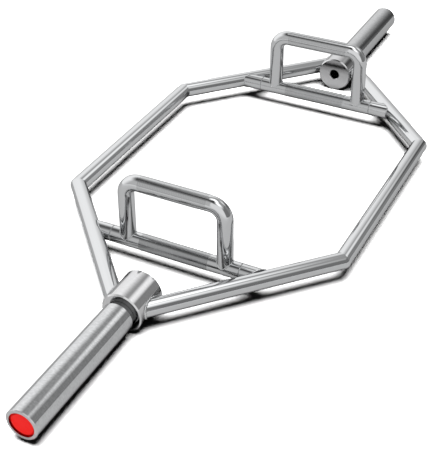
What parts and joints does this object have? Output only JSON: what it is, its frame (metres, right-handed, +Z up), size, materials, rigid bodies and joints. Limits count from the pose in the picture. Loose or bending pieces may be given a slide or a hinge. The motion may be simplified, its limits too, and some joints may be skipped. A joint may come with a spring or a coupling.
{
  "type": "hex trap bar",
  "caption": "Chromed hexagonal lifting frame with two knurled crossbars, two raised handles and a turning plate sleeve at each end.",
  "frame": {"origin": "on the floor, under the middle of the frame", "axes": "+X along the bar towards the far sleeve, +Y to the left side rail, +Z up; the two sleeves share one axis 33.5 mm above the floor"},
  "size_m": [1.422, 0.516, 0.1577],
  "materials": {
    "frame_chrome": "bright chrome plate over polished steel tube",
    "grip_chrome": "chrome plate, knurled where the hand grips",
    "weld_chrome": "chrome plate over a rippled weld",
    "collar_steel": "turned and satin plated",
    "sleeve_chrome": "bright chrome plate with faint turning marks",
    "shaft_steel": "machined and oiled",
    "bearing_bronze": "sintered bronze",
    "cap_plastic": "moulded, semi-gloss red"
  },
  "bodies": {
    "frame": {"left_side_rail": "frame_chrome", "right_side_rail": "frame_chrome", "near_left_arm": "frame_chrome", "near_right_arm": "frame_chrome", "far_left_arm": "frame_chrome", "far_right_arm": "frame_chrome", "near_left_corner": "frame_chrome", "near_right_corner": "frame_chrome", "far_left_corner": "frame_chrome", "far_right_corner": "frame_chrome", "near_collar": "collar_steel", "far_collar": "collar_steel", "near_arm_welds": "weld_chrome", "far_arm_welds": "weld_chrome", "near_crossbar": "grip_chrome", "far_crossbar": "grip_chrome", "near_left_stub": "frame_chrome", "near_right_stub": "frame_chrome", "far_left_stub": "frame_chrome", "far_right_stub": "frame_chrome", "near_raised_handle": "grip_chrome", "far_raised_handle": "grip_chrome", "near_stub_shaft": "shaft_steel", "far_stub_shaft": "shaft_steel", "near_thrust_washer": "bearing_bronze", "far_thrust_washer": "bearing_bronze", "near_retaining_washer": "shaft_steel", "far_retaining_washer": "shaft_steel", "near_retaining_bolt": "shaft_steel", "far_retaining_bolt": "shaft_steel"},
    "near_sleeve": {"near_load_sleeve": "sleeve_chrome", "near_inner_bush": "bearing_bronze", "near_outer_bush": "bearing_bronze", "near_end_cap": "cap_plastic"},
    "far_sleeve": {"far_load_sleeve": "sleeve_chrome", "far_inner_bush": "bearing_bronze", "far_outer_bush": "bearing_bronze", "far_end_cap": "cap_plastic"}
  },
  "joints": [
    {"name": "near_sleeve_spin", "type": "hinge", "parent": "frame", "child": "near_sleeve", "pos_m": [-0.5905, 0, 0.0335], "axis": [1, 0, 0], "continuous": true},
    {"name": "far_sleeve_spin", "type": "hinge", "parent": "frame", "child": "far_sleeve", "pos_m": [0.5905, 0, 0.0335], "axis": [1, 0, 0], "continuous": true}
  ]
}
